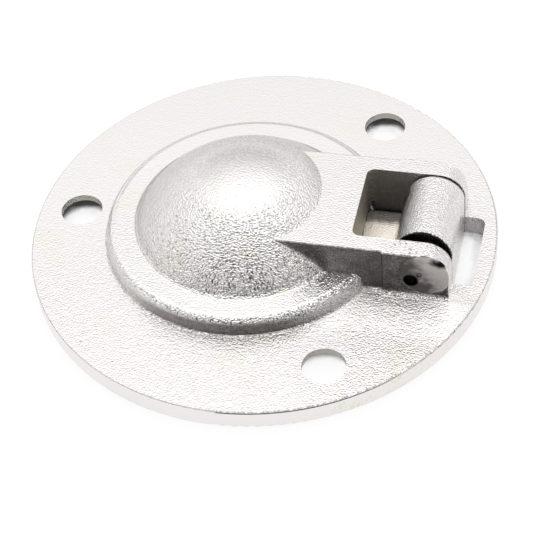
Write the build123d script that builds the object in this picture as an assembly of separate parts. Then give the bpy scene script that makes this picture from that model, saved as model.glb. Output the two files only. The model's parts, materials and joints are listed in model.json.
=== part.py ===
from build123d import *
import math
import os

# Flush lift ring, in millimetres. The front face lies on z = 0 and the back rises along +Z.
# The origin is the centre of the front face. The hinge runs along Y, on the +X side.

# Flange
plate_margin = 2.2
plate_thickness = 3.0
front_edge_round = 0.4
back_edge_round = 0.25

# Screw holes, countersunk from the front
screw_count = 3
screw_edge_distance = 6.0
screw_hole_radius = 2.95
countersink_radius = 4.75
countersink_land = 1.0

# Lift ring
ring_centre_x = -2.0
ring_outer_radius = 16.6
ring_width = 4.2
ring_thickness = 3.2
ring_sink = 0.15
ring_front_round = 0.5
ring_back_round = 1.4
tab_half_width = 6.0
tab_step = 0.1
tab_root_round = 1.0
tab_edge_round = 0.6

# Hinge
pin_offset = 8.85
pin_height = 6.85
pin_radius = 2.0
pin_running_gap = 0.05
barrel_radius = 4.05
barrel_flat_depth = 0.1
barrel_side_gap = 0.35
barrel_foot_round = 1.0
barrel_end_lean = 11.0

# Recess that the ring lies in
ring_side_gap = 1.0
ring_seat_gap = 0.25
casting_draft = 8.0
recess_wall = 1.85
recess_roof = 2.0
notch_corner_round = 0.8
step_shoulder_round = 1.3
step_foot_round = 0.3

# Finger bowl, and the dome over it
dome_height = 13.8
step_width = 4.45
dome_foot_round = 0.8
bowl_wall = 2.2
bowl_mouth_round = 0.5

# Hinge housing
ear_rise = 3.65
ear_thickness = 2.75
ear_reach = 3.95
ear_corner_radius = 3.6
ear_length = 8.9
ear_step = 0.3
window_length = 5.4
window_corner_radius = 1.1
slot_corner_radius = 1.2
open_stop_gap = 0.15
housing_edge_round = 0.25
housing_foot_round = 0.8
neck_round = 1.0

# Faces ground on the ears at the pin's ends, and the pore left in the weld at the near one
grind_radius = 3.5
grind_shift = 0.85
grind_lift = 0.2
grind_depth = 0.2
grind_tilt = 3.0
pore_radius = 0.85
pore_offset = 1.15
centre_mark_radius = 0.25

# Sizes that follow from those above
ring_inner_radius = ring_outer_radius - ring_width
ring_back = ring_sink + ring_thickness
tab_back = ring_back - tab_step
ring_middle = ring_sink + ring_thickness / 2
recess_depth = ring_back + ring_seat_gap
recess_floor_radius = ring_outer_radius + ring_side_gap
recess_mouth_radius = recess_floor_radius + recess_depth * math.tan(math.radians(casting_draft))
step_height = recess_depth + recess_roof
step_foot_radius = recess_mouth_radius + recess_wall
step_draft = (step_height - plate_thickness) * math.tan(math.radians(casting_draft))
dome_foot_radius = step_foot_radius - step_width
dome_rise = dome_height - step_height
dome_sphere_radius = (dome_foot_radius**2 + dome_rise**2) / (2 * dome_rise)
dome_centre_z = dome_height - dome_sphere_radius
bowl_sphere_radius = dome_sphere_radius - bowl_wall
bowl_mouth_radius = math.sqrt(bowl_sphere_radius**2 - (recess_depth - dome_centre_z) ** 2)
pin_x = ring_centre_x + ring_outer_radius + pin_offset
barrel_flat = barrel_radius - barrel_flat_depth
ear_inner = tab_half_width + barrel_side_gap
ear_outer = ear_inner + ear_thickness
ear_face = ear_outer - grind_depth
housing_height = pin_height + ear_rise
housing_half_width = ear_outer - ear_step
housing_end_x = pin_x + ear_reach
barrel_end_x = pin_x + barrel_flat
window_inner_x = pin_x - barrel_radius - window_length
slot_end_x = pin_x + pin_height - ring_sink + open_stop_gap
plate_radius = slot_end_x + plate_margin
screw_circle_radius = plate_radius - screw_edge_distance
root_z = plate_thickness / 2

# Middle of the hollow round along a foot, as a share of its reach: a little fuller than a tangent arc
foot_hollow_share = 0.33

# Lengths that only give the cuts and rounds room, and the tolerance that finds an edge by its place
clear = 5.0
above = housing_height + dome_height
round_room = 2.0
tolerance = 0.01
stand = (Align.CENTER, Align.CENTER, Align.MIN)


def vertex_near(sketch, x, y):
    return sketch.vertices().sort_by_distance((x, y, 0))[0]


def arc_on_sphere(radius, centre_z, foot_radius):
    """Outline of a sphere from a foot circle up to its top, drawn with radius and height."""
    half_angle = math.asin(foot_radius / radius) / 2
    middle = (radius * math.sin(half_angle), centre_z + radius * math.cos(half_angle))
    foot_z = centre_z + math.sqrt(radius**2 - foot_radius**2)
    return ThreePointArc((foot_radius, foot_z), middle, (0, centre_z + radius))


def turned_about_recess(half):
    """Solid turned about the recess axis, from a half section drawn with radius and height."""
    return Pos(ring_centre_x, 0, 0) * revolve(Plane.XZ * half, Axis.Z)


def pin_cylinder(radius, length):
    return Pos(pin_x, 0, pin_height) * Rot(90, 0, 0) * Cylinder(radius, length)


def ring_and_tab(radius, half_width, end_x, corner_round):
    """Outline seen from the front: a disc with a straight tab towards the hinge."""
    disc = Pos(ring_centre_x, 0) * Circle(radius)
    tab = Pos((ring_centre_x + end_x) / 2, 0) * Rectangle(end_x - ring_centre_x, 2 * half_width)
    outline = disc + tab
    root_x = ring_centre_x + math.sqrt(radius**2 - half_width**2)
    corners = [vertex_near(outline, root_x, side * half_width) for side in (-1, 1)]
    return fillet(corners, corner_round)


def flange():
    disc = Cylinder(plate_radius, plate_thickness, align=stand)
    back_rim = disc.edges().filter_by(GeomType.CIRCLE).sort_by(Axis.Z)[-1]
    disc = fillet(back_rim, back_edge_round)
    front_rim = disc.edges().filter_by(GeomType.CIRCLE).sort_by(Axis.Z)[0]
    return fillet(front_rim, front_edge_round)


def dome_cap():
    """The dome's sphere down to the middle of the flange."""
    foot_radius = math.sqrt(dome_sphere_radius**2 - (root_z - dome_centre_z) ** 2)
    lines = Polyline((0, dome_height), (0, root_z), (foot_radius, root_z))
    arc = arc_on_sphere(dome_sphere_radius, dome_centre_z, foot_radius)
    return turned_about_recess(make_face([lines, arc]))


def raised_back():
    """Annular step and dome, turned in one, standing on the flange."""
    shoulder_radius = step_foot_radius - step_draft
    skirt_radius = step_foot_radius + round_room * step_foot_round
    lines = Polyline(
        (0, dome_height),
        (0, root_z),
        (skirt_radius, root_z),
        (skirt_radius, plate_thickness),
        (step_foot_radius, plate_thickness),
        (shoulder_radius, step_height),
        (dome_foot_radius, step_height),
    )
    arc = arc_on_sphere(dome_sphere_radius, dome_centre_z, dome_foot_radius)
    half = make_face([lines, arc])
    half = fillet(vertex_near(half, step_foot_radius, plate_thickness), step_foot_round)
    half = fillet(vertex_near(half, shoulder_radius, step_height), step_shoulder_round)
    half = fillet(vertex_near(half, dome_foot_radius, step_height), dome_foot_round)
    return turned_about_recess(half)


def housing_slab(half_width, start_x, height):
    """Slab across the hinge, seen from the side: a flat back and a rounded outer corner."""
    outline = Polyline(
        (start_x, root_z),
        (housing_end_x, root_z),
        (housing_end_x, height),
        (start_x, height),
        close=True,
    )
    side = fillet(vertex_near(make_face(outline), housing_end_x, height), ear_corner_radius)
    return extrude(Plane.XZ * side, half_width, both=True)


def rounded_slab(half_width, start_x):
    """Slab of the full housing height, with a small round along both of its sides."""
    slab = housing_slab(half_width, start_x, housing_height)
    sides = slab.edges().filter_by(lambda e: abs(abs((e @ 0.5).Y) - half_width) < tolerance)
    outer = sides.filter_by(lambda e: (e @ 0.5).X > start_x + tolerance)
    return fillet(outer.filter_by(lambda e: (e @ 0.5).Z > root_z + tolerance), housing_edge_round)


def neck():
    """The dome and the lower housing, with a hollow round along their junction.

    The round is made on a slab taller than the dome, which is then cut off below the housing's edge.
    """
    dome = dome_cap()
    tall_slab = housing_slab(housing_half_width, ring_centre_x, dome_height + ear_corner_radius + clear)
    body = dome + tall_slab
    arcs = body.edges().filter_by(GeomType.CIRCLE).filter_by(lambda e: on_housing_side(e @ 0.5))
    body = fillet(arcs, neck_round)
    kept = housing_slab(ear_outer + clear, ring_centre_x, housing_height - round_room * housing_edge_round)
    return body & (kept + dome)


def on_housing_side(point):
    below_corner = point.Z < dome_height + clear
    return below_corner and abs(abs(point.Y) - housing_half_width) < tolerance


def foot_hollow(half_width, start_x):
    """Hollow round along the foot of both sides of a slab, from under the step to the slab's end."""
    reach = housing_foot_round
    middle = reach * foot_hollow_share
    arc = ThreePointArc((0, reach), (middle, middle), (reach, 0))
    lines = Polyline((reach, 0), (reach, -reach), (-reach, -reach), (-reach, reach), (0, reach))
    strip = extrude(Plane.YZ * make_face([arc, lines]), housing_end_x - start_x)
    far = Pos(start_x, half_width, plate_thickness) * strip
    return far + mirror(far, Plane.XZ)


def cast_body():
    """Everything that stands on the flange, before it is hollowed from the front."""
    ear_start_x = housing_end_x - ear_length
    housing = rounded_slab(housing_half_width, ring_centre_x)
    ears = rounded_slab(ear_outer, ear_start_x)
    feet = foot_hollow(housing_half_width, dome_foot_radius + ring_centre_x)
    feet += foot_hollow(ear_outer, ear_start_x)
    return flange() + raised_back() + neck() + housing + ears + feet


def ring_recess():
    """Space for the ring and its tab: a drafted round pocket with a straight notch to the hinge."""
    outline = ring_and_tab(recess_floor_radius, ear_inner, housing_end_x, notch_corner_round)
    pocket = Cone(recess_mouth_radius, recess_floor_radius, recess_depth, align=stand)
    return extrude(outline, recess_depth) + Pos(ring_centre_x, 0, 0) * pocket


def finger_bowl():
    """Hollow of the dome, which opens into the recess with a rounded lip."""
    ledge_radius = (recess_floor_radius + bowl_mouth_radius) / 2
    lines = Polyline(
        (0, dome_centre_z + bowl_sphere_radius),
        (0, root_z),
        (ledge_radius, root_z),
        (ledge_radius, recess_depth),
        (bowl_mouth_radius, recess_depth),
    )
    arc = arc_on_sphere(bowl_sphere_radius, dome_centre_z, bowl_mouth_radius)
    half = make_face([lines, arc])
    half = fillet(vertex_near(half, bowl_mouth_radius, recess_depth), bowl_mouth_round)
    return turned_about_recess(half)


def hinge_cavity():
    """Window inside the barrel and slot outside it, cut right through between the ears."""
    length = slot_end_x - window_inner_x
    outline = Pos((slot_end_x + window_inner_x) / 2, 0) * Rectangle(length, 2 * ear_inner)
    window = [vertex_near(outline, window_inner_x, side * ear_inner) for side in (-1, 1)]
    outline = fillet(window, window_corner_radius)
    slot = [vertex_near(outline, slot_end_x, side * ear_inner) for side in (-1, 1)]
    outline = fillet(slot, slot_corner_radius)
    return Pos(0, 0, -clear) * extrude(outline, housing_height + 2 * clear)


def screw_holes():
    hole = Cylinder(screw_hole_radius, plate_thickness + 2 * clear)
    sink = Cone(countersink_radius, screw_hole_radius, plate_thickness - countersink_land, align=stand)
    return PolarLocations(screw_circle_radius, screw_count, start_angle=180) * (hole + sink)


def ground_faces():
    """Shallow round faces ground on the ears and the pin, off centre and leaning in towards the top."""
    faces = []
    for side in (-1, 1):
        disc = Pos(0, side * clear / 2, 0) * Rot(90, 0, 0) * Cylinder(grind_radius, clear)
        place = Pos(pin_x + grind_shift, side * ear_face, pin_height + grind_lift)
        faces.append(place * Rot(side * grind_tilt, 0, 0) * disc)
    return faces


def weld_pore():
    """Pore at the lower edge of the pin's near end."""
    return Pos(pin_x - pore_offset, -ear_face, pin_height - pore_offset) * Sphere(pore_radius)


def base_plate():
    plate = cast_body() - ring_recess() - finger_bowl() - hinge_cavity()
    plate -= screw_holes()
    plate -= ground_faces()
    plate -= pin_cylinder(pin_radius, 2 * ear_outer)
    return plate - weld_pore()


def ring_front():
    """Front half of the ring and tab in one outline, with a small round along its front edges."""
    outline = ring_and_tab(ring_outer_radius, tab_half_width, barrel_end_x, tab_root_round)
    ends = [vertex_near(outline, barrel_end_x, side * tab_half_width) for side in (-1, 1)]
    outline = fillet(ends, tab_edge_round) - Pos(ring_centre_x, 0) * Circle(ring_inner_radius)
    front = Pos(0, 0, ring_sink) * extrude(outline, ring_middle - ring_sink)
    return fillet(front.edges().filter_by(lambda e: (e @ 0.5).Z < ring_sink + tolerance), ring_front_round)


def ring_back_half():
    """Back half of the ring, turned, with a large round along both edges."""
    corner = Pos(ring_inner_radius, ring_middle)
    section = corner * Rectangle(ring_width, ring_back - ring_middle, align=Align.MIN)
    return turned_about_recess(fillet(section.vertices().sort_by(Axis.Y)[-2:], ring_back_round))


def tab_and_barrel():
    """Back half of the tab and the upright barrel on it, rounded along both ends."""
    tab_length = barrel_end_x - ring_centre_x
    tab = Pos(ring_centre_x, ring_middle) * Rectangle(tab_length, tab_back - ring_middle, align=Align.MIN)
    block_corner = Pos(pin_x - barrel_radius, ring_middle)
    block = block_corner * Rectangle(barrel_radius + barrel_flat, pin_height - ring_middle, align=Align.MIN)
    side = tab + block + Pos(pin_x, pin_height) * Circle(barrel_radius)
    side = fillet(vertex_near(side, pin_x - barrel_radius, tab_back), barrel_foot_round)
    side -= Pos(barrel_end_x, 0) * Rectangle(clear, 2 * above, align=(Align.MIN, Align.CENTER))
    flat_top = pin_height + math.sqrt(barrel_radius**2 - barrel_flat**2)
    side = fillet(vertex_near(side, barrel_end_x, flat_top), barrel_foot_round)
    solid = extrude(Plane.XZ * side, tab_half_width, both=True)
    solid = fillet(solid.edges().filter_by(lambda e: on_tab_end(e @ 0.5)), tab_edge_round)
    solid -= barrel_end_relief()
    return solid - Pos(ring_centre_x, 0) * Cylinder(ring_inner_radius + ring_width / 2, above)


def barrel_end_relief():
    """Leaning cut across the near end of the barrel, deepest at its top."""
    block = Box(above, above, above, align=(Align.CENTER, Align.MAX, Align.MIN))
    return Pos(pin_x, -tab_half_width, pin_height) * Rot(-barrel_end_lean, 0, 0) * block


def on_tab_end(point):
    within = point.X > ring_centre_x + tolerance and point.Z > ring_middle + tolerance
    return within and abs(abs(point.Y) - tab_half_width) < tolerance


def lift_ring():
    ring = ring_front() + ring_back_half() + tab_and_barrel()
    return ring - pin_cylinder(pin_radius + pin_running_gap, 2 * ear_outer)


def hinge_pin():
    """Plain pin, ground flush with the ears, with a centre mark in its near end."""
    pin = pin_cylinder(pin_radius, 2 * ear_outer) - ground_faces()
    mark_size = round_room * centre_mark_radius
    mark = Rot(90, 0, 0) * Cone(0, mark_size, mark_size)
    return pin - Pos(pin_x, -ear_face, pin_height) * mark - weld_pore()


os.makedirs("parts", exist_ok=True)
export_step(base_plate(), "parts/base_plate.step")
export_step(lift_ring(), "parts/lift_ring.step")
export_step(hinge_pin(), "parts/hinge_pin.step")
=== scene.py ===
import json
import math
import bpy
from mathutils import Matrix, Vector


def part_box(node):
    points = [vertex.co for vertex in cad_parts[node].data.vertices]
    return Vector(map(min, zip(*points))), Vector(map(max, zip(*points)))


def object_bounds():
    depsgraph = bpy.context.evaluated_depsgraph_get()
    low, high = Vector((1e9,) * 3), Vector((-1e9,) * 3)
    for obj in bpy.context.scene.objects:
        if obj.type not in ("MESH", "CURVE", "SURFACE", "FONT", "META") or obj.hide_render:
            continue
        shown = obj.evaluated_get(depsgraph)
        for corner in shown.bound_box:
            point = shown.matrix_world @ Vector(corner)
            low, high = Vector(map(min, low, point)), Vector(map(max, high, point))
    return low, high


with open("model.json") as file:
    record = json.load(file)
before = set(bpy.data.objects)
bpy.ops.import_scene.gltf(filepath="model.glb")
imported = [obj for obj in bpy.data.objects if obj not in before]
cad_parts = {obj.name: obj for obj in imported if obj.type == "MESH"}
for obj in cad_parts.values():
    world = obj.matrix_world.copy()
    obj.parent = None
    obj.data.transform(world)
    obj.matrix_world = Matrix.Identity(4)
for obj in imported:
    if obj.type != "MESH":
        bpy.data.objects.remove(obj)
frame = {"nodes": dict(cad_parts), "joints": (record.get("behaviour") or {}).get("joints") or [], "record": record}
from types import SimpleNamespace
import bpy
from mathutils import Matrix, Vector

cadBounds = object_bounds()
print("frame loaded")

# camera fitted to the photograph: degrees, metres, and pixels of its 533 px frame
cameraSettings = {
    "azimuth": 17.40,
    "elevation": 46.89,
    "roll": -6.58,
    "distance": 0.2434,
    "focalPixels": 1730.2,
    "framePixels": 533,
    "originLeft": 1.9,
    "originUp": 22.7,
    "sensorWidth": 36.0,
    "clipNear": 0.01,
    "clipFar": 10.0,
}


def makeCamera(s):
    azimuth, elevation, roll = (math.radians(s[name]) for name in ("azimuth", "elevation", "roll"))
    flat = math.cos(elevation)
    back = Vector((math.sin(azimuth) * flat, -math.cos(azimuth) * flat, math.sin(elevation)))
    level = Vector((0, 0, 1)).cross(back).normalized()
    upright = back.cross(level)
    right = level * math.cos(roll) + upright * math.sin(roll)
    up = upright * math.cos(roll) - level * math.sin(roll)
    perPixel = s["distance"] / s["focalPixels"]
    rightward = right * s["originLeft"] * perPixel
    upward = up * s["originUp"] * perPixel
    place = back * s["distance"] + rightward - upward
    camera = bpy.data.cameras.new("photoCamera")
    camera.sensor_width = s["sensorWidth"]
    camera.lens = s["sensorWidth"] * s["focalPixels"] / s["framePixels"]
    camera.clip_start = s["clipNear"]
    camera.clip_end = s["clipFar"]
    cameraObject = bpy.data.objects.new("photoCamera", camera)
    bpy.context.scene.collection.objects.link(cameraObject)
    axes = Matrix((right, up, back)).transposed()
    cameraObject.matrix_world = Matrix.Translation(place) @ axes.to_4x4()
    bpy.context.scene.camera = cameraObject


# shorthands for node trees: a plain number goes on the socket, a socket is linked
def connect(tree, value, socket):
    if isinstance(value, bpy.types.NodeSocket):
        tree.links.new(value, socket)
    else:
        socket.default_value = value


def addNode(tree, kind, **values):
    node = tree.nodes.new(kind)
    for name, value in values.items():
        label = name.replace("_", " ")
        if label in node.inputs:
            connect(tree, value, node.inputs[label])
        else:
            setattr(node, name, value)
    return node


def addMath(tree, operation, *values):
    node = addNode(tree, "ShaderNodeMath", operation=operation)
    for socket, value in zip(node.inputs, values):
        connect(tree, value, socket)
    return node.outputs[0]


def multiply(tree, first, *others):
    for other in others:
        first = addMath(tree, "MULTIPLY", first, other)
    return first


def opposite(tree, share):
    return addMath(tree, "SUBTRACT", 1.0, share)


def absolute(tree, value):
    return addMath(tree, "ABSOLUTE", value)


def isAbove(tree, value, limit):
    return addMath(tree, "GREATER_THAN", value, limit)


def isBelow(tree, value, limit):
    return addMath(tree, "LESS_THAN", value, limit)


def addRamp(tree, value, low, high, start=0.0, end=1.0):
    node = addNode(tree, "ShaderNodeMapRange", interpolation_type="SMOOTHSTEP")
    for socket, number in zip(node.inputs, (value, low, high, start, end)):
        connect(tree, number, socket)
    return node.outputs[0]


def blendValues(tree, share, first, second):
    return addRamp(tree, share, 0.0, 1.0, first, second)


# the node's sockets of the same name differ by kind: colours are inputs 6 and 7 and output 2
def mixColours(tree, share, first, second):
    node = addNode(tree, "ShaderNodeMix", data_type="RGBA")
    for index, value in {0: share, 6: first, 7: second}.items():
        connect(tree, value, node.inputs[index])
    return node.outputs[2]


def mixShaders(tree, share, first, second):
    node = addNode(tree, "ShaderNodeMixShader", Fac=share)
    tree.links.new(first.outputs[0], node.inputs[1])
    tree.links.new(second.outputs[0], node.inputs[2])
    return node


def addDistance(tree, x, y, centre=(0.0, 0.0), stretch=(1.0, 1.0)):
    across = multiply(tree, addMath(tree, "SUBTRACT", x, centre[0]), 1 / stretch[0])
    along = multiply(tree, addMath(tree, "SUBTRACT", y, centre[1]), 1 / stretch[1])
    squares = addMath(tree, "ADD", multiply(tree, across, across), multiply(tree, along, along))
    return addMath(tree, "SQRT", squares)


def addNoise(tree, point, scale, detail, roughness=0.5):
    noise = addNode(tree, "ShaderNodeTexNoise", Scale=scale, Detail=detail, Roughness=roughness)
    connect(tree, point, noise.inputs["Vector"])
    return noise.outputs["Fac"]


def addPlace(tree):
    coordinates = addNode(tree, "ShaderNodeTexCoord").outputs
    split = addNode(tree, "ShaderNodeSeparateXYZ", Vector=coordinates["Object"]).outputs
    return SimpleNamespace(point=coordinates["Object"], normal=coordinates["Normal"],
                           x=split["X"], y=split["Y"], z=split["Z"])


def newMaterial(name):
    material = bpy.data.materials.new(name)
    material.use_nodes = True
    material.node_tree.nodes.clear()
    return material, material.node_tree


def newGroup(name, sockets):
    group = bpy.data.node_groups.new(name, "ShaderNodeTree")
    for label, kind in sockets.items():
        group.interface.new_socket(label, in_out="OUTPUT", socket_type="NodeSocket" + kind)
    return group, group.nodes.new("NodeGroupOutput").inputs


# studio: a white tent, open and dark where the photographer stands, with a soft lamp overhead.
# the opening starts and is full at these degrees from its middle, and at these heights
studio = {
    "white": (1, 1, 1, 1),
    "darkAzimuth": 14.0,
    "darkAngles": (69.0, 57.0),
    "darkHeights": (0.10, 0.32),
    "darkStrength": 0.02,
    "tentHeights": (0.25, 0.95),
    "tentStrengths": (0.60, 1.27),
    "sideStrength": 0.15,
    "lampPlace": (0.01, 0.03, 0.42),
    "lampSize": 0.30,
    "lampPower": 0.10,
}


def makeWorld(s):
    world = bpy.data.worlds.new("studio")
    bpy.context.scene.world = world
    world.use_nodes = True
    tree = world.node_tree
    tree.nodes.clear()
    direction = addNode(tree, "ShaderNodeTexCoord").outputs["Generated"]
    heading = addNode(tree, "ShaderNodeSeparateXYZ", Vector=direction).outputs
    azimuth = math.radians(s["darkAzimuth"])
    toward = addNode(tree, "ShaderNodeVectorMath", operation="DOT_PRODUCT")
    connect(tree, direction, toward.inputs[0])
    connect(tree, (math.sin(azimuth), -math.cos(azimuth), 0), toward.inputs[1])
    cosines = [math.cos(math.radians(angle)) for angle in s["darkAngles"]]
    darkness = multiply(tree, addRamp(tree, toward.outputs["Value"], *cosines),
                        addRamp(tree, heading["Z"], *s["darkHeights"]))
    tent = addRamp(tree, heading["Z"], *s["tentHeights"], *s["tentStrengths"])
    tent = addMath(tree, "MULTIPLY_ADD", absolute(tree, heading["X"]), s["sideStrength"], tent)
    light = multiply(tree, tent, opposite(tree, darkness))
    strength = addMath(tree, "MULTIPLY_ADD", darkness, s["darkStrength"], light)
    around = addNode(tree, "ShaderNodeBackground", Color=s["white"], Strength=strength)
    seen = addNode(tree, "ShaderNodeBackground", Color=s["white"], Strength=1.0)
    isCamera = addNode(tree, "ShaderNodeLightPath").outputs["Is Camera Ray"]
    out = addNode(tree, "ShaderNodeOutputWorld")
    tree.links.new(mixShaders(tree, isCamera, around, seen).outputs[0], out.inputs[0])


def makeLamp(s):
    lamp = bpy.data.lights.new("softLamp", "AREA")
    lamp.shape = "DISK"
    lamp.size = s["lampSize"]
    lamp.energy = s["lampPower"]
    lampObject = bpy.data.objects.new("softLamp", lamp)
    bpy.context.scene.collection.objects.link(lampObject)
    lampObject.location = s["lampPlace"]
    lampObject.rotation_euler = Vector(s["lampPlace"]).to_track_quat("Z", "Y").to_euler()


# pale floor, white to the eye, with shadow where the part comes close, but less at the near screw
# hole. openness is the share of the sky that a point of the floor sees
floorSettings = {
    "size": 1.2,
    "drop": 0.00002,
    "colour": (0.9, 0.9, 0.9, 1),
    "white": (1, 1, 1, 1),
    "shadow": 0.16,
    "gapSamples": 16,
    "gapReach": 0.006,
    "gapOpenness": (0.18, 0.27),
    "gapGlow": (0.03, 1.06),
    "nearHoleY": (-0.010, -0.026),
    "nearHoleOpenness": (0.0, 0.16),
    "coveredBelow": 0.03,
    "coveredReach": 0.0006,
    "bowlCentre": (-0.002, 0.0),
    "bowlRadius": 0.0135,
}


# the part's front lies on the floor, so the floor is clear from below, and clear where the part
# covers it to all but the camera: the polished front gets its light from there
def makeFloorMaterial(s):
    material, tree = newMaterial("paleFloor")
    at = addPlace(tree)
    path = addNode(tree, "ShaderNodeLightPath").outputs
    around = addNode(tree, "ShaderNodeAmbientOcclusion", samples=s["gapSamples"],
                     Distance=s["gapReach"])
    openness = around.outputs["AO"]
    covered = multiply(tree, isBelow(tree, openness, s["coveredBelow"]),
                       isBelow(tree, path["Ray Length"], s["coveredReach"]))
    fromBowl = addDistance(tree, at.x, at.y, s["bowlCentre"])
    covered = addMath(tree, "MAXIMUM", covered, isBelow(tree, fromBowl, s["bowlRadius"]))
    covered = multiply(tree, covered, opposite(tree, path["Is Camera Ray"]))
    nearHole = addRamp(tree, at.y, *s["nearHoleY"], *s["nearHoleOpenness"])
    openness = addMath(tree, "ADD", openness, nearHole)
    glow = addRamp(tree, openness, *s["gapOpenness"], *s["gapGlow"])
    seen = path["Is Camera Ray"]
    for kind in ("Is Glossy Ray", "Is Transmission Ray"):
        seen = addMath(tree, "MAXIMUM", seen, path[kind])
    diffuse = addNode(tree, "ShaderNodeBsdfDiffuse", Color=s["colour"])
    white = addNode(tree, "ShaderNodeEmission", Color=s["white"], Strength=glow)
    bright = mixShaders(tree, multiply(tree, seen, 1 - s["shadow"]), diffuse, white)
    fromBelow = addNode(tree, "ShaderNodeNewGeometry").outputs["Backfacing"]
    clear = addNode(tree, "ShaderNodeBsdfTransparent")
    both = mixShaders(tree, addMath(tree, "MAXIMUM", fromBelow, covered), bright, clear)
    out = addNode(tree, "ShaderNodeOutputMaterial")
    tree.links.new(both.outputs[0], out.inputs[0])
    return material


def makeFloor(s):
    half = s["size"] / 2
    mesh = bpy.data.meshes.new("floor")
    corners = [(-half, -half, 0), (half, -half, 0), (half, half, 0), (-half, half, 0)]
    mesh.from_pydata(corners, [], [(0, 1, 2, 3)])
    mesh.materials.append(makeFloorMaterial(s))
    floor = bpy.data.objects.new("floor", mesh)
    bpy.context.scene.collection.objects.link(floor)
    floor.location.z = cadBounds[0][2] - s["drop"]


bpy.context.scene.view_settings.view_transform = "Standard"
makeCamera(cameraSettings)
makeWorld(studio)
makeLamp(studio)
makeFloor(floorSettings)
print("studio ready")

# places on the part that the finishes follow, in metres
hinge = SimpleNamespace(x=frame["joints"][0]["pos_m"][0], z=frame["joints"][0]["pos_m"][2])
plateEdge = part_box("base_plate")[1].x
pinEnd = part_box("hinge_pin")[1].y
screws = next(m for m in frame["record"]["mounts"] if m["name"] == "screw_holes")["dims"]

# cast skin: fine grains on coarser swellings, sizes in metres
grain = {
    "size": 0.00021,
    "detail": 0.0,
    "coarseSize": 0.0010,
    "coarseDetail": 1.0,
    "coarseShare": 0.5,
}


def makeGrainGroup(s):
    group, outputs = newGroup("castGrain", {"Height": "Float", "Fine": "Float"})
    size = group.interface.new_socket("Size", in_out="INPUT", socket_type="NodeSocketFloat")
    size.default_value = s["size"]
    inputs = group.nodes.new("NodeGroupInput").outputs
    point = addPlace(group).point
    scale = addMath(group, "DIVIDE", 1.0, inputs["Size"])
    fine = addNoise(group, point, scale, s["detail"])
    coarseScale = multiply(group, scale, s["size"] / s["coarseSize"])
    coarse = addNoise(group, point, coarseScale, s["coarseDetail"])
    height = addMath(group, "MULTIPLY_ADD", coarse, s["coarseShare"], fine)
    connect(group, height, outputs["Height"])
    connect(group, fine, outputs["Fine"])
    return group


# faint yellowish water marks, small dark pits, blotches and speckles on the cast skin
marks = {
    "stainSize": 0.007,
    "stainDetail": 6.0,
    "stainRoughness": 0.7,
    "stainRange": (0.50, 0.72),
    "pitSize": 0.0013,
    "pitRange": (0.16, 0.08),
    "pitsFrom": 0.95,
    "blotchSize": 0.0016,
    "blotchDetail": 3.0,
    "blotchRoughness": 0.6,
    "speckleSize": 0.00045,
    "speckleDetail": 2.0,
}


def makeMarksGroup(s):
    labels = ("Stain", "Pits", "Blotches", "Speckles")
    group, outputs = newGroup("waterMarks", {label: "Float" for label in labels})
    point = addPlace(group).point
    stain = addNoise(group, point, 1 / s["stainSize"], s["stainDetail"], s["stainRoughness"])
    cells = addNode(group, "ShaderNodeTexVoronoi", Vector=point, Scale=1 / s["pitSize"]).outputs
    chosen = addNode(group, "ShaderNodeSeparateColor", Color=cells["Color"]).outputs["Red"]
    pits = multiply(group, addRamp(group, cells["Distance"], *s["pitRange"]),
                    isAbove(group, chosen, s["pitsFrom"]))
    blotches = addNoise(group, point, 1 / s["blotchSize"], s["blotchDetail"], s["blotchRoughness"])
    speckles = addNoise(group, point, 1 / s["speckleSize"], s["speckleDetail"])
    stain = addRamp(group, stain, *s["stainRange"])
    for label, value in zip(labels, (stain, pits, blotches, speckles)):
        connect(group, value, outputs[label])
    return group


# faces ground over the pin's ends: brownish and streaked, lighter toward the right as a painted
# highlight and toward the top; the near one with a dark smudge, a small round centre mark painted
# dark as its shade, and a casting pore painted near black as its shade. places are counted from the
# hinge line, along x and z
groundSpot = {
    "centre": (0.00085, 0.0002),
    "radius": 0.0035,
    "depth": 0.0005,
    "edge": 0.00025,
    "blotchSize": 0.0012,
    "blotchDetail": 3.0,
    "blotchShare": 0.7,
    "streakSize": 0.0009,
    "streakDetail": 5.0,
    "streakShare": 0.7,
    "streakTurn": -35.0,
    "streakStretch": 3.0,
    # lighter toward the right: a painted highlight; and lighter toward the top
    "slopeX": 170.0,
    "slopeZ": 100.0,
    "tones": (0.50, 1.12),
    "dark": (0.24, 0.21, 0.20, 1),
    "light": (0.98, 0.93, 0.90, 1),
    "smudgeCentre": (0.0027, 0.0024),
    "smudgeSize": (0.0014, 0.0011),
    "smudgeWander": 1.2,
    "smudgeEdge": (1.7, 0.9),
    "poreCentre": (-0.00115, -0.00115),
    "poreEdge": (0.00110, 0.000935),
    "poreDepth": 0.0016,
    # near black: the smudge's colour, and painted shade in the pore and on the centre mark
    "poreColour": (0.012, 0.010, 0.010, 1),
    "markRadius": 0.00027,
    "markLine": (0.0001215, 0.0000405, 0.0, 0.8),
}


def addGroundTone(group, at, s):
    turned = addNode(group, "ShaderNodeMapping", Vector=at.point)
    turned.inputs["Rotation"].default_value = (0, math.radians(s["streakTurn"]), 0)
    turned.inputs["Scale"].default_value = (1, s["streakStretch"], s["streakStretch"])
    scale = 1 / s["streakSize"] / s["streakStretch"]
    streaks = addNoise(group, turned.outputs["Vector"], scale, s["streakDetail"])
    # lighter toward the right, a painted highlight, and toward the top, with streaks and blotches
    tone = multiply(group, at.fromHingeZ, s["slopeZ"])
    tone = addMath(group, "MULTIPLY_ADD", at.fromHingeX, s["slopeX"], tone)
    tone = addMath(group, "MULTIPLY_ADD", streaks, s["streakShare"], tone)
    tone = addMath(group, "MULTIPLY_ADD", at.blotches, s["blotchShare"], tone)
    return streaks, mixColours(group, addRamp(group, tone, *s["tones"]), s["dark"], s["light"])


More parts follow.
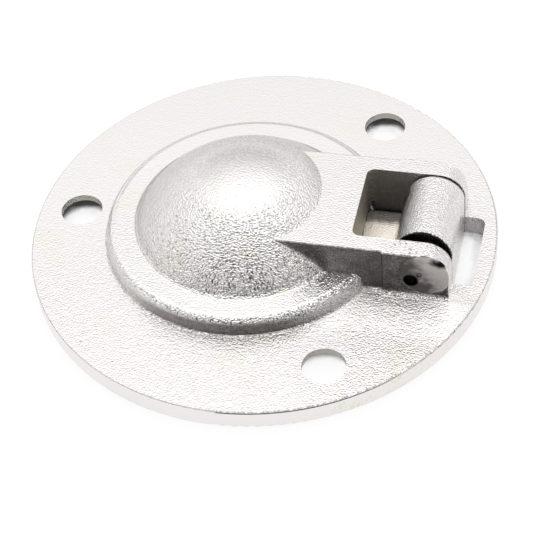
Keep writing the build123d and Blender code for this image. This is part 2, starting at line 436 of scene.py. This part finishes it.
def addSmudgeAndMarkShade(group, at, s):
    smudge = addDistance(group, at.fromHingeX, at.fromHingeZ, s["smudgeCentre"], s["smudgeSize"])
    smudge = addMath(group, "MULTIPLY_ADD", at.blotches, s["smudgeWander"], smudge)
    smudge = addRamp(group, smudge, *s["smudgeEdge"])
    # painted shade on the centre mark, a ring around the hinge line
    fromHinge = addDistance(group, at.fromHingeX, at.fromHingeZ)
    centreMark = absolute(group, addMath(group, "SUBTRACT", fromHinge, s["markRadius"]))
    centreMark = addRamp(group, centreMark, *s["markLine"])
    sootAndShade = addMath(group, "MAXIMUM", smudge, centreMark)
    return multiply(group, sootAndShade, isBelow(group, at.y, 0.0))


def makeGroundGroup(s):
    sockets = {"Mask": "Float", "Color": "Color", "Streaks": "Float"}
    group, outputs = newGroup("groundFace", sockets)
    at = addPlace(group)
    at.fromHingeX = addMath(group, "SUBTRACT", at.x, hinge.x)
    at.fromHingeZ = addMath(group, "SUBTRACT", at.z, hinge.z)
    at.blotches = addNoise(group, at.point, 1 / s["blotchSize"], s["blotchDetail"])
    reach = addDistance(group, at.fromHingeX, at.fromHingeZ, s["centre"])
    reach = addMath(group, "MULTIPLY_ADD", at.blotches, 2 * s["edge"], reach)
    disc = addRamp(group, reach, s["radius"] + s["edge"], s["radius"])
    disc = multiply(group, disc, isAbove(group, absolute(group, at.y), pinEnd - s["depth"]))
    # painted shade in the casting pore, near black
    fromPore = addDistance(group, at.fromHingeX, at.fromHingeZ, s["poreCentre"])
    pore = multiply(group, addRamp(group, fromPore, *s["poreEdge"]),
                    isBelow(group, at.y, s["poreDepth"] - pinEnd))
    streaks, colour = addGroundTone(group, at, s)
    sootAndShade = addMath(group, "MAXIMUM", addSmudgeAndMarkShade(group, at, s), pore)
    connect(group, addMath(group, "MAXIMUM", disc, pore), outputs["Mask"])
    connect(group, mixColours(group, sootAndShade, colour, s["poreColour"]), outputs["Color"])
    connect(group, streaks, outputs["Streaks"])
    return group


# in the settings below a pair says where a mask starts and where it is full, in metres or as the
# part of the normal that faces that way, and two further numbers say what it goes from and to
faces = {
    "rimDepth": (0.00014, 0.00005),
    "front": (-0.05, -0.35),
    "upright": (0.62, 0.25),
    "sideways": (0.45, 0.85),
    "sidesOut": 0.0098,
    "stepSide": (-0.70, -0.92),
    "level": (0.90, 0.98),
    "farHalf": (-0.001, 0.001),
}


# turned rim, polished front, level faces, unpolished walls beside the hinge that take painted shade,
# near wall of the step that takes painted shade
def findFaces(tree, at, s):
    at.out = absolute(tree, at.y)
    at.radius = addDistance(tree, at.x, at.y)
    at.rim = addRamp(tree, at.radius, *(plateEdge - depth for depth in faces["rimDepth"]))
    at.front = addRamp(tree, at.faceZ, *faces["front"])
    at.level = addRamp(tree, at.faceZ, *faces["level"])
    at.upright = addRamp(tree, absolute(tree, at.faceZ), *faces["upright"])
    at.farHalf = addRamp(tree, at.y, *faces["farHalf"])
    sideways = addRamp(tree, absolute(tree, at.faceY), *faces["sideways"])
    at.sides = multiply(tree, at.upright, sideways, opposite(tree, at.rim),
                        isAbove(tree, at.x, s["sidesFrom"]),
                        isBelow(tree, at.out, faces["sidesOut"]))
    other = opposite(tree, addMath(tree, "MAXIMUM", at.rim, at.sides))
    at.stepSide = multiply(tree, at.upright, addRamp(tree, at.faceY, *faces["stepSide"]), other)


window = {
    "wallX": hinge.x - 0.00945,
    "wallReach": 0.0003,
    "halfWidth": 0.0063,
    "sunkBelow": 0.0045,
    "sunkFrom": hinge.x - 0.00965,
    "sunkTo": hinge.x - 0.0030,
    # painted shadow of the far wall on the sunk faces: where its edge lies, wandering with the blotches
    "grimeWander": 0.002,
    "grime": (0.0036, 0.0052),
}


# in the window: the sunk dull faces, which are the tab and the far wall's foot, and the wall on the
# dome's side
def findWindow(tree, at):
    between = isBelow(tree, at.out, window["halfWidth"])
    at.dull = multiply(tree, isBelow(tree, at.z, window["sunkBelow"]),
                       isAbove(tree, at.x, window["sunkFrom"]),
                       isBelow(tree, at.x, window["sunkTo"]), between, opposite(tree, at.front))
    fromWall = absolute(tree, addMath(tree, "SUBTRACT", at.x, window["wallX"]))
    atWall = isBelow(tree, fromWall, window["wallReach"])
    at.windowWall = multiply(tree, atWall, between, at.upright)


# bare cast steel with water marks, and the window's dull faces, with a painted shadow of the far wall
# in the far corner
def colourSkin(tree, at, s):
    stain = multiply(tree, at.marks["Stain"], s["stainShare"])
    colour = mixColours(tree, stain, s["colour"], s["stainColour"])
    # painted shadow of the far wall over the far part of the sunk faces
    grime = addMath(tree, "MULTIPLY_ADD", at.marks["Blotches"], window["grimeWander"], at.y)
    grime = addRamp(tree, grime, *window["grime"])
    dullColour = mixColours(tree, grime, s["dullLight"], s["dullDark"])
    colour = mixColours(tree, at.dull, colour, dullColour)
    return mixColours(tree, at.windowWall, colour, s["windowWallColour"])


wearAndEdgeShade = {
    "edgeFaceY": (0.15, 0.45),
    "edgeFaceX": (0.30, 0.15),
    "edgeAbove": 0.0085,
    "edgeBeyond": 0.0040,
    "edgeOut": (0.0082, 0.0086),
    "earHeight": (0.0090, 0.0096),
    "earSide": (-0.0062, -0.0066),
    "earAlong": (hinge.x - 0.0060, hinge.x - 0.0030),
    "earSpeckles": (0.57, 0.70),
    "earShare": 0.6,
    "rimRadius": (0.0270, 0.0305),
    "rimX": (0.006, 0.020),
    "rimY": (0.004, -0.004),
    "rimSpeckles": (0.44, 0.66),
    "rimStain": (0.0, 0.5, 0.2, 0.7),
    "pitsY": (0.0, -0.012),
}


# painted shade along the housing's rounded top edge, worn speckles on the near ear's top, yellowish
# stains by the rim beyond the slot, dark pits on the near half
def colourWearAndEdgeShade(tree, at, s, colour):
    # painted shade along the housing's rounded top edge, on its near and far sides
    edgeShade = multiply(tree, addRamp(tree, absolute(tree, at.faceY), *wearAndEdgeShade["edgeFaceY"]),
                     addRamp(tree, absolute(tree, at.faceX), *wearAndEdgeShade["edgeFaceX"]),
                     isAbove(tree, at.z, wearAndEdgeShade["edgeAbove"]),
                     isAbove(tree, at.x, wearAndEdgeShade["edgeBeyond"]),
                     addRamp(tree, at.out, *wearAndEdgeShade["edgeOut"]))
    colour = mixColours(tree, edgeShade, colour, s["edgeColour"])
    worn = multiply(tree, addRamp(tree, at.z, *wearAndEdgeShade["earHeight"]),
                    addRamp(tree, at.y, *wearAndEdgeShade["earSide"]),
                    addRamp(tree, at.x, *wearAndEdgeShade["earAlong"]),
                    addRamp(tree, at.marks["Speckles"], *wearAndEdgeShade["earSpeckles"]), wearAndEdgeShade["earShare"])
    colour = mixColours(tree, worn, colour, s["speckleColour"])
    stained = multiply(tree, addRamp(tree, at.radius, *wearAndEdgeShade["rimRadius"]),
                       addRamp(tree, at.x, *wearAndEdgeShade["rimX"]),
                       addRamp(tree, at.y, *wearAndEdgeShade["rimY"]),
                       addRamp(tree, at.marks["Speckles"], *wearAndEdgeShade["rimSpeckles"]),
                       addRamp(tree, at.marks["Stain"], *wearAndEdgeShade["rimStain"]))
    colour = mixColours(tree, stained, colour, s["rimStainColour"])
    pits = multiply(tree, at.marks["Pits"], addRamp(tree, at.y, *wearAndEdgeShade["pitsY"], 0.0, s["pitShare"]))
    return mixColours(tree, pits, colour, s["pitColour"])


# painted shade on the walls beside the hinge: how its tone varies, and where the mould's seam runs
sideSkin = {
    "blotchShare": 0.6,
    "fineShare": 0.5,
    "footHeight": (0.0033, 0.0029, 0.0, 0.2),
    "insideOut": (0.0070, 0.0066, 0.0, 0.3),
    "tones": (0.40, 0.80),
    "seamX": hinge.x - 0.00495,       # where the mould's two halves met
    "seamOut": 0.0080,
    "seamWidth": 0.00011,
}


# painted shade on the walls beside the hinge, in tones that vary at random and grow lighter toward the
# foot and inward, less of it on the far half, with the mould's seam; and painted shade on the step's near wall
def colourSides(tree, at, s, colour):
    sideTone = multiply(tree, at.fine, sideSkin["fineShare"])
    sideTone = addMath(tree, "MULTIPLY_ADD", at.marks["Blotches"], sideSkin["blotchShare"], sideTone)
    sideTone = addMath(tree, "ADD", sideTone, addRamp(tree, at.z, *sideSkin["footHeight"]))
    sideTone = addMath(tree, "ADD", sideTone, addRamp(tree, at.out, *sideSkin["insideOut"]))
    sideTone = addRamp(tree, sideTone, *sideSkin["tones"])
    sideShadeColour = mixColours(tree, sideTone, s["sideDark"], s["sideLight"])
    width = sideSkin["seamWidth"]
    wobble = addMath(tree, "MULTIPLY_ADD", at.marks["Blotches"], width, sideSkin["seamX"])
    seam = absolute(tree, addMath(tree, "SUBTRACT", at.x, wobble))
    seam = multiply(tree, addRamp(tree, seam, width, width / 2),
                    isAbove(tree, at.out, sideSkin["seamOut"]))
    sideShadeColour = mixColours(tree, seam, sideShadeColour, s["creviceColour"])
    # painted shade on the step's near wall
    step = multiply(tree, at.stepSide, s["stepShade"])
    colour = mixColours(tree, step, colour, s["stepColour"])
    shade = multiply(tree, at.sides, blendValues(tree, at.farHalf, 1.0, s["innerShade"]))
    return mixColours(tree, shade, colour, sideShadeColour)


# painted shade on the barrel's near end: the end leans, so the shade's edge follows
# y = start + lean * height over the hinge
details = {
    "holeMargin": 0.0006,
    "tornLean": 0.194,
    "tornY": -0.0060,
    "tornEdge": (0.00012, 0.0),
    "creviceSamples": 8,
    "creviceRange": (0.55, 0.10),
    "creviceAboveFront": 0.0002,
}


def addHoleDistance(tree, at):
    nearest = None
    circle = screws["pcd_mm"] / 2000
    for i in range(screws["count"]):
        angle = math.pi + 2 * math.pi * i / screws["count"]
        centre = (circle * math.cos(angle), circle * math.sin(angle))
        away = addDistance(tree, at.x, at.y, centre)
        nearest = away if nearest is None else addMath(tree, "MINIMUM", nearest, away)
    return nearest


# painted shade in the bores of the screw holes and on the barrel's near end, ground spots, painted
# shade where the part closes in
def colourDetails(tree, at, s, colour):
    # painted shade on the upright walls of the screw holes
    reach = screws["hole_r_mm"] / 1000 + details["holeMargin"]
    boreShade = multiply(tree, at.upright, isBelow(tree, addHoleDistance(tree, at), reach))
    colour = mixColours(tree, boreShade, colour, s["holeColour"])
    # painted shade on the barrel's near end, in the walls' darkest colour
    if s["tornReach"]:
        end = addMath(tree, "MULTIPLY_ADD", addMath(tree, "SUBTRACT", at.z, hinge.z),
                      details["tornLean"], details["tornY"])
        endShade = addMath(tree, "SUBTRACT", at.y, end)
        endShade = addMath(tree, "SUBTRACT", endShade, multiply(tree, at.fine, s["tornReach"]))
        endShade = multiply(tree, addRamp(tree, endShade, *details["tornEdge"]),
                        isAbove(tree, at.z, hinge.z))
        colour = mixColours(tree, endShade, colour, s["sideDark"])
    colour = mixColours(tree, at.ground["Mask"], colour, at.ground["Color"])
    # painted shade where the part closes in, by how open each point is, not on the front
    hollow = addNode(tree, "ShaderNodeAmbientOcclusion", samples=details["creviceSamples"],
                     Distance=s["creviceReach"])
    creviceShade = multiply(tree, addRamp(tree, hollow.outputs["AO"], *details["creviceRange"]),
                       isAbove(tree, at.z, s["frontZ"] + details["creviceAboveFront"]))
    return mixColours(tree, creviceShade, colour, s["creviceColour"])


gloss = {
    "fineRange": (0.3, 0.7),
    "sideOuter": 0.1,
    "sideInner": 0.3,
    "flangeHeight": (0.0040, 0.0034),
}


# glossy grains, duller unpolished walls and flange
def makeRoughness(tree, at, s):
    roughness = addRamp(tree, at.fine, *gloss["fineRange"], *s["roughness"])
    sideExtra = blendValues(tree, at.farHalf, gloss["sideOuter"], gloss["sideInner"])
    roughness = addMath(tree, "ADD", roughness, multiply(tree, at.sides, sideExtra))
    flange = multiply(tree, at.level, addRamp(tree, at.z, *gloss["flangeHeight"]))
    roughness = addMath(tree, "MULTIPLY_ADD", flange, s["flatRoughness"], roughness)
    roughness = blendValues(tree, at.dull, roughness, s["dullRoughness"])
    roughness = blendValues(tree, at.windowWall, roughness, s["windowWallRoughness"])
    roughness = blendValues(tree, at.front, roughness, s["polishedRoughness"])
    roughness = blendValues(tree, at.rim, roughness, s["rimRoughness"])
    return blendValues(tree, at.ground["Mask"], roughness, s["groundRoughness"])


relief = {
    "farY": (-0.004, 0.020),
    "farShare": 0.5,
    "awayX": -0.5,
    "away": (-0.004, 0.016),
    "awayShare": 0.4,
    "stepShare": 0.6,
    "scratchShare": 0.15,
    "dishFrom": -0.0165,
    "dishTo": -0.0098,
    "dishRound": 0.003,
    "dishLeft": (0.006, 0.013),
    "dishRight": (0.0325, 0.0270),
    "flangeBack": 0.003,
    "flangeReach": 0.0011,
}


# how strong the grain stands: weaker on the part's far side, on level faces and where polished
def addGrainShare(tree, at, s):
    smooth = addMath(tree, "MAXIMUM", at.rim, at.front)
    away = addMath(tree, "MULTIPLY_ADD", at.x, relief["awayX"], at.y)
    away = addRamp(tree, away, *relief["away"], 1.0, relief["awayShare"])
    share = multiply(tree, addRamp(tree, at.y, *relief["farY"], 1.0, relief["farShare"]),
                     blendValues(tree, at.level, 1.0, s["flatGrain"]),
                     blendValues(tree, at.level, 1.0, away),
                     blendValues(tree, at.stepSide, 1.0, relief["stepShare"]),
                     blendValues(tree, smooth, 1.0, s["polishedGrain"]))
    share = blendValues(tree, at.ground["Mask"], share, s["polishedGrain"])
    return blendValues(tree, at.dull, share, s["dullGrain"])


# the flange's back rises a little toward the housing's near foot
def addDish(tree, at):
    dish = addMath(tree, "SUBTRACT", at.y, relief["dishFrom"])
    dish = addMath(tree, "SMOOTH_MAX", dish, 0.0, relief["dishRound"])
    dish = addMath(tree, "MINIMUM", dish, relief["dishTo"] - relief["dishFrom"])
    fromBack = absolute(tree, addMath(tree, "SUBTRACT", at.z, relief["flangeBack"]))
    return multiply(tree, dish, addRamp(tree, at.x, *relief["dishLeft"]),
                    addRamp(tree, at.x, *relief["dishRight"]),
                    isBelow(tree, fromBack, relief["flangeReach"]),
                    isBelow(tree, at.y, -sideSkin["seamOut"]))


# tilts are degrees that a face is shaded off its true slope
def makeRelief(tree, at, s):
    height = multiply(tree, at.grainHeight, addGrainShare(tree, at, s))
    scratches = multiply(tree, at.ground["Mask"], relief["scratchShare"])
    height = addMath(tree, "MULTIPLY_ADD", at.ground["Streaks"], scratches, height)
    lean = math.tan(math.radians(s["dullTilt"])) / s["bumpDepth"]
    height = addMath(tree, "MULTIPLY_ADD", multiply(tree, at.y, lean), at.dull, height)
    if s["dishTilt"]:
        rise = math.tan(math.radians(s["dishTilt"])) / s["bumpDepth"]
        height = addMath(tree, "MULTIPLY_ADD", addDish(tree, at), rise, height)
    bump = addNode(tree, "ShaderNodeBump", Strength=1.0, Distance=s["bumpDepth"], Height=height)
    return bump.outputs["Normal"]


# colours, shares and gloss of the plate and the pin, then what differs on the ring
plateFinish = {
    "colour": (0.86, 0.835, 0.825, 1),
    "stainColour": (0.84, 0.80, 0.66, 1),
    "rimStainColour": (0.74, 0.69, 0.50, 1),
    "pitColour": (0.22, 0.20, 0.19, 1),
    "speckleColour": (0.25, 0.23, 0.22, 1),
    # painted shade on the housing's rounded top edge
    "edgeColour": (0.52, 0.505, 0.495, 1),
    # painted shade on the walls beside the hinge, from dark to light
    "sideDark": (0.14, 0.127, 0.12, 1),
    "sideLight": (0.34, 0.315, 0.305, 1),
    # painted shade on the step's near wall
    "stepColour": (0.25, 0.23, 0.22, 1),
    "dullLight": (0.64, 0.60, 0.53, 1),
    # painted shadow of the far wall on the window's sunk faces
    "dullDark": (0.16, 0.147, 0.14, 1),
    "windowWallColour": (0.60, 0.56, 0.48, 1),
    # painted shade in the bores of the screw holes
    "holeColour": (0.36, 0.345, 0.31, 1),
    # painted shade in crevices; the mould's seam line shares this colour
    "creviceColour": (0.07, 0.06, 0.055, 1),
    "stainShare": 0.35,
    "pitShare": 0.6,
    "innerShade": 0.45,
    "stepShade": 0.85,
    "sidesFrom": 0.0,
    "tornReach": 0.0,
    "creviceReach": 0.0008,
    "roughness": (0.08, 0.16),
    "flatRoughness": 0.16,
    "dullRoughness": 0.22,
    "windowWallRoughness": 0.55,
    "polishedRoughness": 0.12,
    "rimRoughness": 0.22,
    "groundRoughness": 0.42,
    "grainSize": 0.00021,
    "bumpDepth": 0.00017,
    "flatGrain": 0.55,
    "dullGrain": 0.25,
    "polishedGrain": 0.04,
    "dullTilt": 12.0,
    "dishTilt": 9.0,
}
ringFinish = dict(
    plateFinish,
    # near-black painted shade on the ring's walls and on the barrel's near end
    sideDark=(0.02, 0.018, 0.017, 1),
    sideLight=(0.12, 0.11, 0.10, 1),
    stainShare=0.3,
    stepShade=0.0,
    sidesFrom=0.0180,
    tornReach=0.0005,
    creviceReach=0.0006,
    flatRoughness=0.0,
    grainSize=0.00019,
    flatGrain=1.0,
    dishTilt=0.0,
)


def makeCastSteel(name, s):
    material, tree = newMaterial(name)
    at = addPlace(tree)
    facing = addNode(tree, "ShaderNodeSeparateXYZ", Vector=at.normal).outputs
    at.faceX, at.faceY, at.faceZ = (facing[axis] for axis in "XYZ")
    skin = addNode(tree, "ShaderNodeGroup", node_tree=grainGroup, Size=s["grainSize"]).outputs
    at.grainHeight, at.fine = skin["Height"], skin["Fine"]
    at.marks = addNode(tree, "ShaderNodeGroup", node_tree=marksGroup).outputs
    at.ground = addNode(tree, "ShaderNodeGroup", node_tree=groundGroup).outputs
    findFaces(tree, at, s)
    findWindow(tree, at)
    colour = colourSkin(tree, at, s)
    for paint in (colourWearAndEdgeShade, colourSides, colourDetails):
        colour = paint(tree, at, s, colour)
    steel = addNode(tree, "ShaderNodeBsdfPrincipled", Metallic=1.0, Base_Color=colour)
    connect(tree, makeRoughness(tree, at, s), steel.inputs["Roughness"])
    connect(tree, makeRelief(tree, at, s), steel.inputs["Normal"])
    out = addNode(tree, "ShaderNodeOutputMaterial")
    tree.links.new(steel.outputs[0], out.inputs[0])
    return material


grainGroup = makeGrainGroup(grain)
marksGroup = makeMarksGroup(marks)
groundGroup = makeGroundGroup(groundSpot)
finishes = {"base_plate": plateFinish, "lift_ring": ringFinish, "hinge_pin": plateFinish}
for nodeName, finish in finishes.items():
    node = frame["nodes"][nodeName]
    nodeFinish = dict(finish, frontZ=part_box(nodeName)[0].z)
    node.data.materials.clear()
    node.data.materials.append(makeCastSteel(nodeName + "Steel", nodeFinish))
print("materials on")
